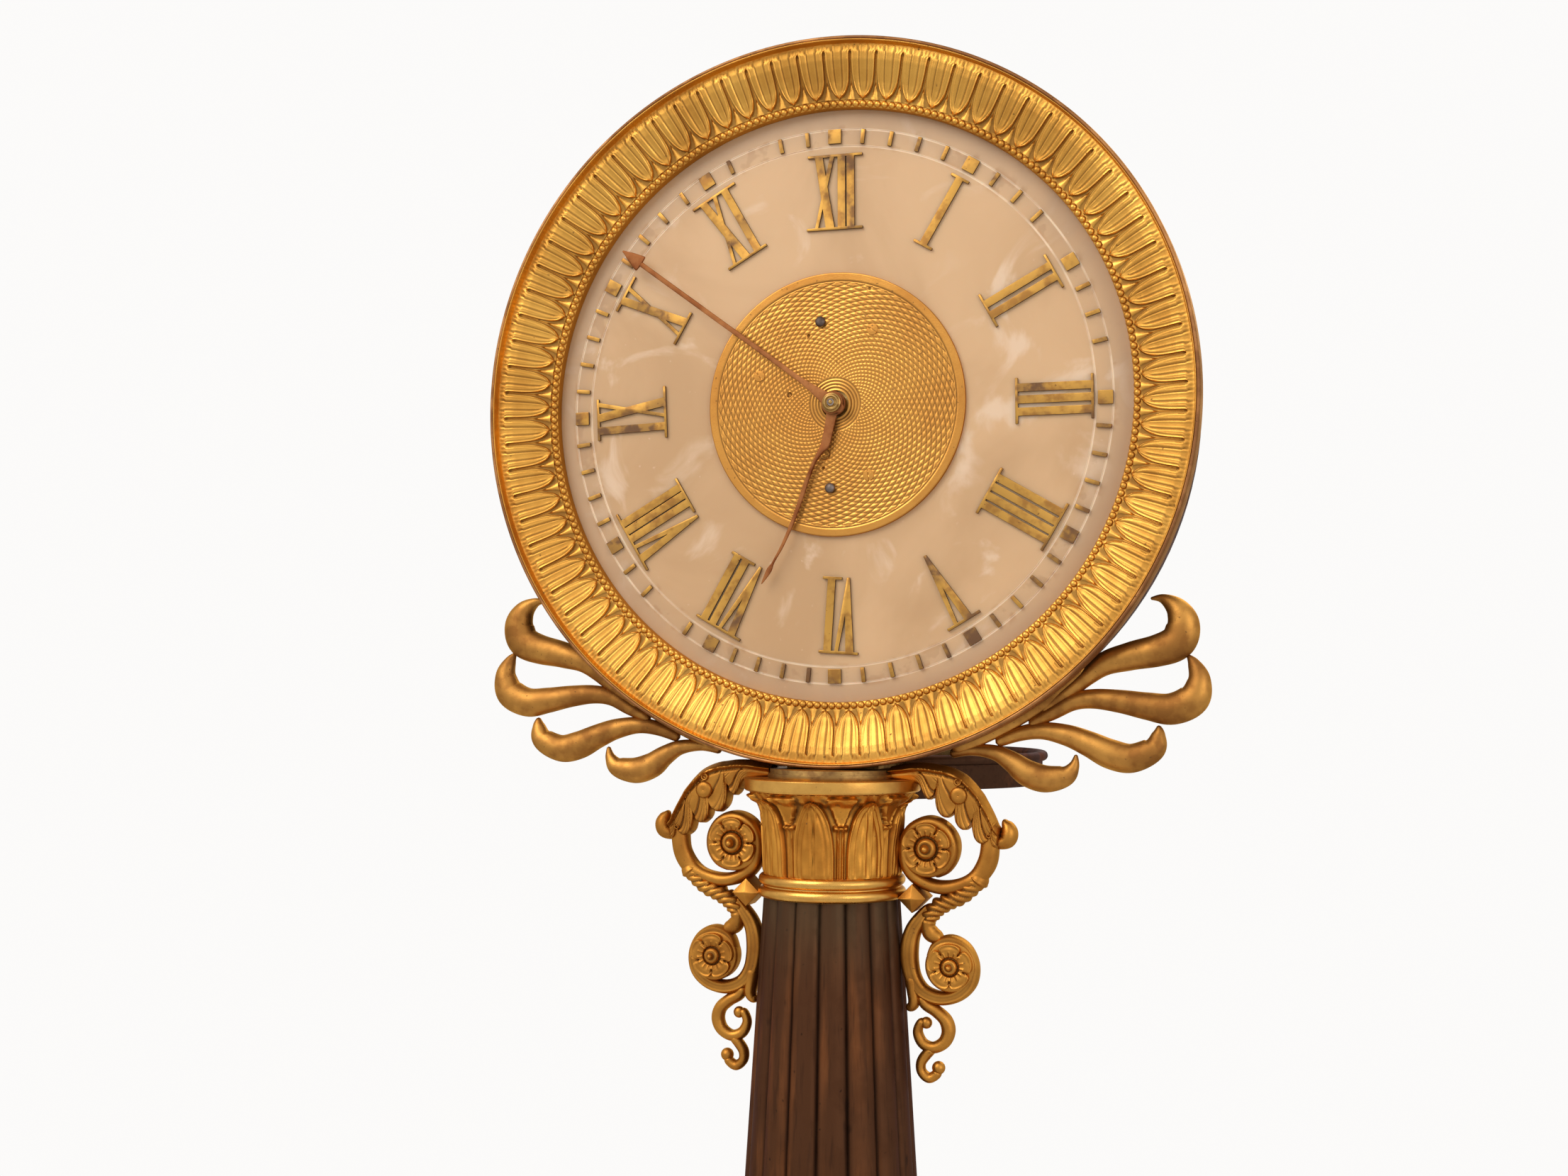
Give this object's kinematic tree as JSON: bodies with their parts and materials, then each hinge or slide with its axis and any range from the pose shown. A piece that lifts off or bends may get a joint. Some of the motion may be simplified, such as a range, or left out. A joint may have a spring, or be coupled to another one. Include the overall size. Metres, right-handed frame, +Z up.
{
  "type": "night clock",
  "caption": "Column night clock: a translucent alabaster dial in a leaf-cast gilt bezel, lit from behind by an oil lamp, on a reeded column with scroll brackets.",
  "frame": {"origin": "centre of the underside of the plinth, on the column's axis", "axes": "+Z up, the dial faces -Y, +X to the right as seen from the front"},
  "size_m": [0.2042, 0.179, 0.4564],
  "materials": {
    "gilt": "gilt, old, lightly burnished",
    "dull_gilt": "dull gilt",
    "brass": "raw, slightly tarnished",
    "dark_bronze": "dark brown patina",
    "alabaster": "honed translucent alabaster",
    "steel": "plain steel",
    "rusted": "rust-brown",
    "cotton": "woven cotton",
    "wood": "plain board"
  },
  "bodies": {
    "case": {"plinth_foot": "gilt", "base_board": "wood", "plinth_block": "dark_bronze", "plinth_cap": "gilt", "base_ring": "gilt", "column_shaft": "dark_bronze", "astragal": "gilt", "capital_bell": "gilt", "abacus": "gilt", "neck_collar": "brass", "tie_rod": "steel", "tie_nut": "brass", "bezel_frame": "gilt", "bezel_leaves": "gilt", "dial_alabaster": "alabaster", "hour_squares": "gilt", "minute_bars": "gilt", "numerals": "gilt", "centre_disc": "gilt", "disc_screws": "steel", "flush_screws": "gilt", "disc_posts": "brass", "drum_shell": "dark_bronze", "retaining_ring": "brass", "retaining_screws": "steel", "spray_left": "dull_gilt", "spray_right": "dull_gilt", "bracket_left": "gilt", "bracket_right": "gilt", "bracket_screws": "brass", "upper_rosettes": "gilt", "lower_rosettes": "gilt", "balance_cock": "brass", "front_plate": "brass", "back_plate": "brass", "pillars": "brass", "movement_screws": "steel", "lamp_arm": "dark_bronze", "arm_screws": "brass", "lamp_pan": "dark_bronze"},
    "minute": {"minute_hand": "rusted", "hand_collet": "brass", "cannon_pinion": "brass", "centre_arbor": "steel", "centre_wheel": "brass"},
    "hour": {"hour_hand": "rusted", "hour_wheel": "brass"},
    "motion": {"minute_wheel": "brass"},
    "third": {"third_arbor": "steel", "third_wheel": "brass"},
    "fourth": {"fourth_arbor": "steel", "fourth_wheel": "brass"},
    "mainspring_barrel": {"barrel": "brass"},
    "winding": {"barrel_arbor": "steel", "ratchet_wheel": "steel"},
    "ratchet_click": {"click": "steel"},
    "balance": {"balance_wheel": "brass"},
    "lamp": {"oil_font": "brass", "burner": "brass"},
    "lamp_wick": {"wick": "cotton"}
  },
  "joints": [
    {"name": "minute_turn", "type": "hinge", "parent": "case", "child": "minute", "pos_m": [0, 0.016, 0.356], "axis": [0, 1, 0], "continuous": true},
    {"name": "hour_turn", "type": "hinge", "parent": "case", "child": "hour", "pos_m": [0, 0.016, 0.356], "axis": [0, 1, 0], "continuous": true},
    {"name": "motion_turn", "type": "hinge", "parent": "case", "child": "motion", "pos_m": [0.006, 0.016, 0.34561], "axis": [0, 1, 0], "continuous": true},
    {"name": "barrel_turn", "type": "hinge", "parent": "case", "child": "mainspring_barrel", "pos_m": [-0.01455, 0.016, 0.3476], "axis": [0, 1, 0], "continuous": true},
    {"name": "third_turn", "type": "hinge", "parent": "case", "child": "third", "pos_m": [0.0072, 0.016, 0.36847], "axis": [0, 1, 0], "continuous": true},
    {"name": "fourth_turn", "type": "hinge", "parent": "case", "child": "fourth", "pos_m": [-0.0034, 0.016, 0.37459], "axis": [0, 1, 0], "continuous": true},
    {"name": "winding_turn", "type": "hinge", "parent": "case", "child": "winding", "pos_m": [-0.01455, 0.016, 0.3476], "axis": [0, 1, 0], "continuous": true},
    {"name": "click_lift", "type": "hinge", "parent": "case", "child": "ratchet_click", "pos_m": [-0.01238, 0.016, 0.35991], "axis": [0, 1, 0], "range_deg": [0, 12], "stiffness_Nm_per_rad": 0.0002, "springref_deg": -5.73},
    {"name": "balance_swing", "type": "hinge", "parent": "case", "child": "balance", "pos_m": [0.0135, 0.016, 0.3425], "axis": [0, 1, 0], "range_deg": [-140, 140], "stiffness_Nm_per_rad": 0.00001},
    {"name": "lamp_lift", "type": "slide", "parent": "case", "child": "lamp", "axis": [0, 0, 1], "range_m": [0, 0.04]},
    {"name": "wick_raise", "type": "slide", "parent": "lamp", "child": "lamp_wick", "axis": [0, 0, 1], "range_m": [0, 0.003]}
  ],
  "couplings": [
    {"joint": "hour_turn", "follows": "minute_turn", "ratio": 0.083333},
    {"joint": "motion_turn", "follows": "minute_turn", "ratio": -0.33333},
    {"joint": "barrel_turn", "follows": "minute_turn", "ratio": -0.16667},
    {"joint": "third_turn", "follows": "minute_turn", "ratio": -8},
    {"joint": "fourth_turn", "follows": "minute_turn", "ratio": 60}
  ]
}
